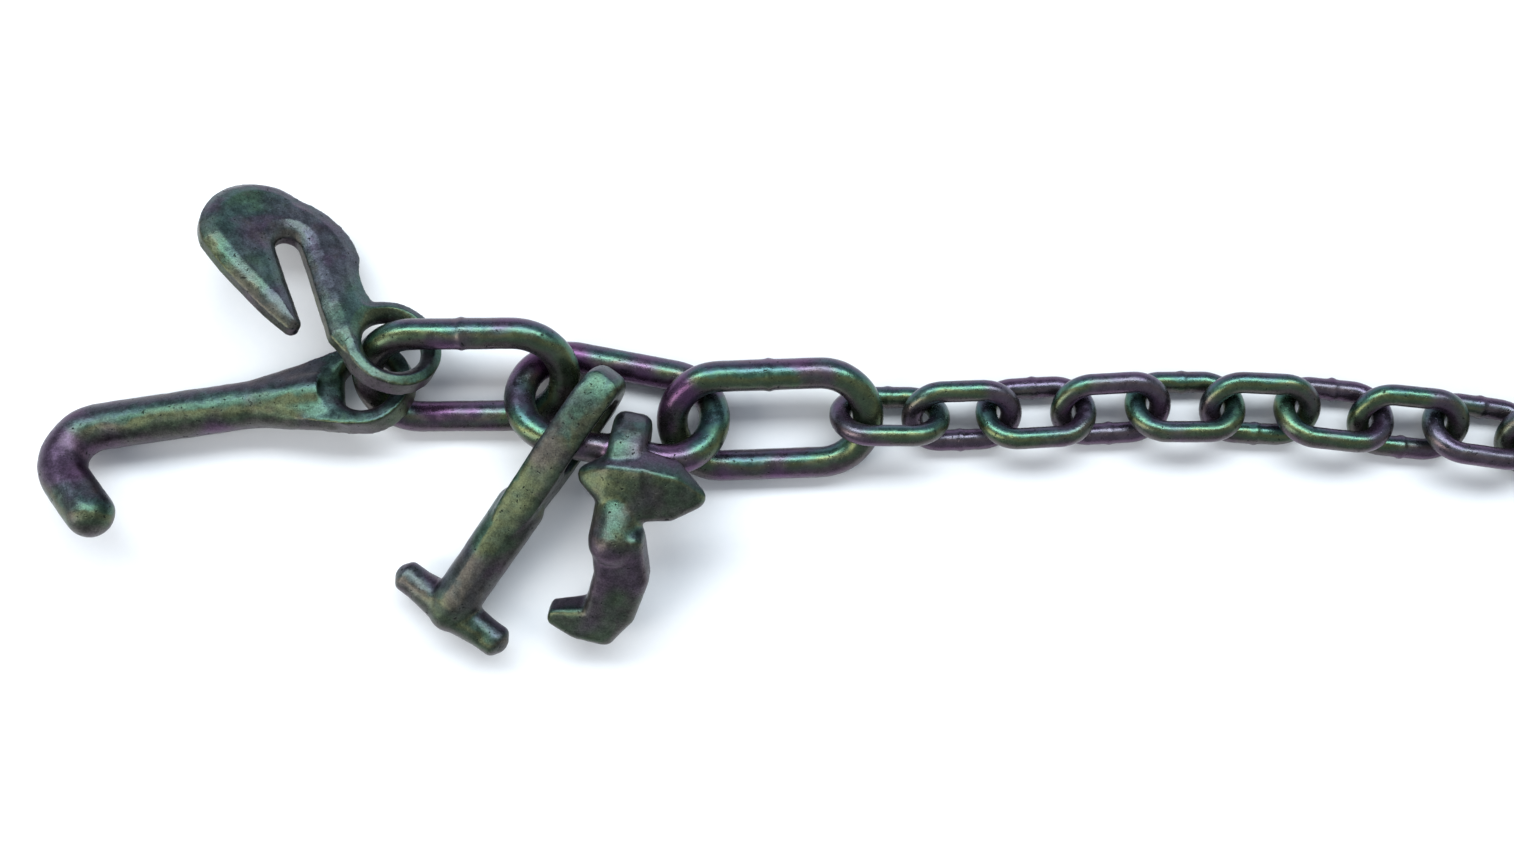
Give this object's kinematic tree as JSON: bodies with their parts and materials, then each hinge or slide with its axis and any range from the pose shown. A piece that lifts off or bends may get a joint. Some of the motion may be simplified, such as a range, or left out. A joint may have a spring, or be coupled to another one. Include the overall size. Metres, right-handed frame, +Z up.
{
  "type": "tie-down chain with hook cluster",
  "caption": "Transport chain with a cluster of forged end fittings: flat grab hook, round J hook, T-bar hook and R hook on oblong links, leading into welded short links.",
  "frame": {"origin": "middle of the ground under the whole chain as it lies stretched out", "axes": "+X along the chain from the hook cluster to the free end, +Y across it towards the grab hook, +Z up from the ground"},
  "size_m": [0.8788, 0.1796, 0.0464],
  "materials": {
    "plated_wire": "dark iridescent chromate plating over zinc, satin, with fine grain and pits",
    "forged_hook": "dark iridescent chromate plating on forged steel, satin, slightly rougher"
  },
  "bodies": {
    "oblong_link_middle": {"oblong_link_middle": "plated_wire"},
    "oblong_link_left": {"oblong_link_left": "plated_wire"},
    "oblong_link_right": {"oblong_link_right": "plated_wire"},
    "chain_link_01": {"chain_link_01": "plated_wire"},
    "chain_link_02": {"chain_link_02": "plated_wire"},
    "chain_link_03": {"chain_link_03": "plated_wire"},
    "chain_link_04": {"chain_link_04": "plated_wire"},
    "chain_link_05": {"chain_link_05": "plated_wire"},
    "chain_link_06": {"chain_link_06": "plated_wire"},
    "chain_link_07": {"chain_link_07": "plated_wire"},
    "chain_link_08": {"chain_link_08": "plated_wire"},
    "chain_link_09": {"chain_link_09": "plated_wire"},
    "chain_link_10": {"chain_link_10": "plated_wire"},
    "chain_link_11": {"chain_link_11": "plated_wire"},
    "chain_link_12": {"chain_link_12": "plated_wire"},
    "chain_link_13": {"chain_link_13": "plated_wire"},
    "chain_link_14": {"chain_link_14": "plated_wire"},
    "chain_link_15": {"chain_link_15": "plated_wire"},
    "chain_link_16": {"chain_link_16": "plated_wire"},
    "chain_link_17": {"chain_link_17": "plated_wire"},
    "chain_link_18": {"chain_link_18": "plated_wire"},
    "chain_link_19": {"chain_link_19": "plated_wire"},
    "chain_link_20": {"chain_link_20": "plated_wire"},
    "grab_hook": {"grab_hook": "forged_hook"},
    "j_hook": {"j_hook": "forged_hook"},
    "t_hook": {"t_hook": "forged_hook"},
    "r_hook": {"r_hook": "forged_hook"}
  },
  "joints": [
    {"name": "left_oblong_swing", "type": "hinge", "parent": "oblong_link_middle", "child": "oblong_link_left", "pos_m": [-0.25966, 0.0166, 0.01661], "axis": [0.006, -0.5735, 0.8192], "range_deg": [-40, 40]},
    {"name": "right_oblong_swing", "type": "hinge", "parent": "oblong_link_middle", "child": "oblong_link_right", "pos_m": [-0.18245, -0.00084, 0.01382], "axis": [0.0147, -0.4224, 0.9063], "range_deg": [-40, 40]},
    {"name": "link_01_swing", "type": "hinge", "parent": "oblong_link_right", "child": "chain_link_01", "pos_m": [-0.12636, 0.00115, 0.01365], "axis": [0.011, 0.7671, 0.6414], "range_deg": [-50, 50]},
    {"name": "link_02_swing", "type": "hinge", "parent": "chain_link_01", "child": "chain_link_02", "pos_m": [-0.09892, 0.00103, 0.01084], "axis": [0.0205, -0.5874, 0.809], "range_deg": [-50, 50]},
    {"name": "link_03_swing", "type": "hinge", "parent": "chain_link_02", "child": "chain_link_03", "pos_m": [-0.07064, 0.00214, 0.01035], "axis": [0.0285, -0.5439, -0.8387], "range_deg": [-50, 50]},
    {"name": "link_04_swing", "type": "hinge", "parent": "chain_link_03", "child": "chain_link_04", "pos_m": [-0.04238, 0.00362, 0.01052], "axis": [-0.0293, 0.5584, -0.829], "range_deg": [-50, 50]},
    {"name": "link_05_swing", "type": "hinge", "parent": "chain_link_04", "child": "chain_link_05", "pos_m": [-0.01411, 0.00475, 0.01035], "axis": [0, 0.5446, 0.8387], "range_deg": [-50, 50]},
    {"name": "link_06_swing", "type": "hinge", "parent": "chain_link_05", "child": "chain_link_06", "pos_m": [0.01418, 0.0044, 0.01052], "axis": [-0.0293, -0.5584, 0.829], "range_deg": [-50, 50]},
    {"name": "link_07_swing", "type": "hinge", "parent": "chain_link_06", "child": "chain_link_07", "pos_m": [0.04242, 0.00258, 0.01019], "axis": [-0.0554, -0.527, -0.848], "range_deg": [-50, 50]},
    {"name": "link_08_swing", "type": "hinge", "parent": "chain_link_07", "child": "chain_link_08", "pos_m": [0.07056, -0.00038, 0.01035], "axis": [0.0569, 0.5417, -0.8387], "range_deg": [-50, 50]},
    {"name": "link_09_swing", "type": "hinge", "parent": "chain_link_08", "child": "chain_link_09", "pos_m": [0.09868, -0.00357, 0.01035], "axis": [0.0758, 0.5393, 0.8387], "range_deg": [-50, 50]},
    {"name": "link_10_swing", "type": "hinge", "parent": "chain_link_09", "child": "chain_link_10", "pos_m": [0.1267, -0.00751, 0.01019], "axis": [-0.0738, -0.5248, 0.848], "range_deg": [-50, 50]},
    {"name": "link_11_swing", "type": "hinge", "parent": "chain_link_10", "child": "chain_link_11", "pos_m": [0.15474, -0.01133, 0.01052], "axis": [-0.0681, -0.555, -0.829], "range_deg": [-50, 50]},
    {"name": "link_12_swing", "type": "hinge", "parent": "chain_link_11", "child": "chain_link_12", "pos_m": [0.18286, -0.01455, 0.01035], "axis": [0.0475, 0.5426, -0.8387], "range_deg": [-50, 50]},
    {"name": "link_13_swing", "type": "hinge", "parent": "chain_link_12", "child": "chain_link_13", "pos_m": [0.21107, -0.01667, 0.01035], "axis": [0.019, 0.5443, 0.8387], "range_deg": [-50, 50]},
    {"name": "link_14_swing", "type": "hinge", "parent": "chain_link_13", "child": "chain_link_14", "pos_m": [0.23936, -0.01743, 0.01052], "axis": [0, -0.5592, 0.829], "range_deg": [-50, 50]},
    {"name": "link_15_swing", "type": "hinge", "parent": "chain_link_14", "child": "chain_link_15", "pos_m": [0.26765, -0.01708, 0.01035], "axis": [0.0285, -0.5439, -0.8387], "range_deg": [-50, 50]},
    {"name": "link_16_swing", "type": "hinge", "parent": "chain_link_15", "child": "chain_link_16", "pos_m": [0.2959, -0.01548, 0.01035], "axis": [-0.038, 0.5433, -0.8387], "range_deg": [-50, 50]},
    {"name": "link_17_swing", "type": "hinge", "parent": "chain_link_16", "child": "chain_link_17", "pos_m": [0.32413, -0.01351, 0.01052], "axis": [-0.039, 0.5578, 0.829], "range_deg": [-50, 50]},
    {"name": "link_18_swing", "type": "hinge", "parent": "chain_link_17", "child": "chain_link_18", "pos_m": [0.35238, -0.01176, 0.01035], "axis": [0.019, -0.5443, 0.8387], "range_deg": [-50, 50]},
    {"name": "link_19_swing", "type": "hinge", "parent": "chain_link_18", "child": "chain_link_19", "pos_m": [0.38066, -0.01101, 0.01035], "axis": [0, -0.5446, -0.8387], "range_deg": [-50, 50]},
    {"name": "link_20_swing", "type": "hinge", "parent": "chain_link_19", "child": "chain_link_20", "pos_m": [0.40896, -0.01124, 0.01052], "axis": [0.0195, 0.5589, -0.829], "range_deg": [-50, 50]},
    {"name": "grab_hook_swing", "type": "hinge", "parent": "oblong_link_left", "child": "grab_hook", "pos_m": [-0.30496, 0.0265, 0.0239], "axis": [0.4302, 0.5102, 0.7447], "range_deg": [-40, 40]},
    {"name": "j_hook_swing", "type": "hinge", "parent": "oblong_link_left", "child": "j_hook", "pos_m": [-0.31586, 0.0119, 0.0139], "axis": [-0.099, 0.4601, 0.8824], "range_deg": [-40, 30]},
    {"name": "t_hook_swing", "type": "hinge", "parent": "oblong_link_middle", "child": "t_hook", "pos_m": [-0.24076, -0.0093, 0.0235], "axis": [0.8113, -0.5801, 0.0728], "range_deg": [-15, 15]},
    {"name": "r_hook_swing", "type": "hinge", "parent": "oblong_link_middle", "child": "r_hook", "pos_m": [-0.21706, -0.0145, 0.0257], "axis": [0.9838, -0.179, -0.0098], "range_deg": [-40, 40]}
  ]
}
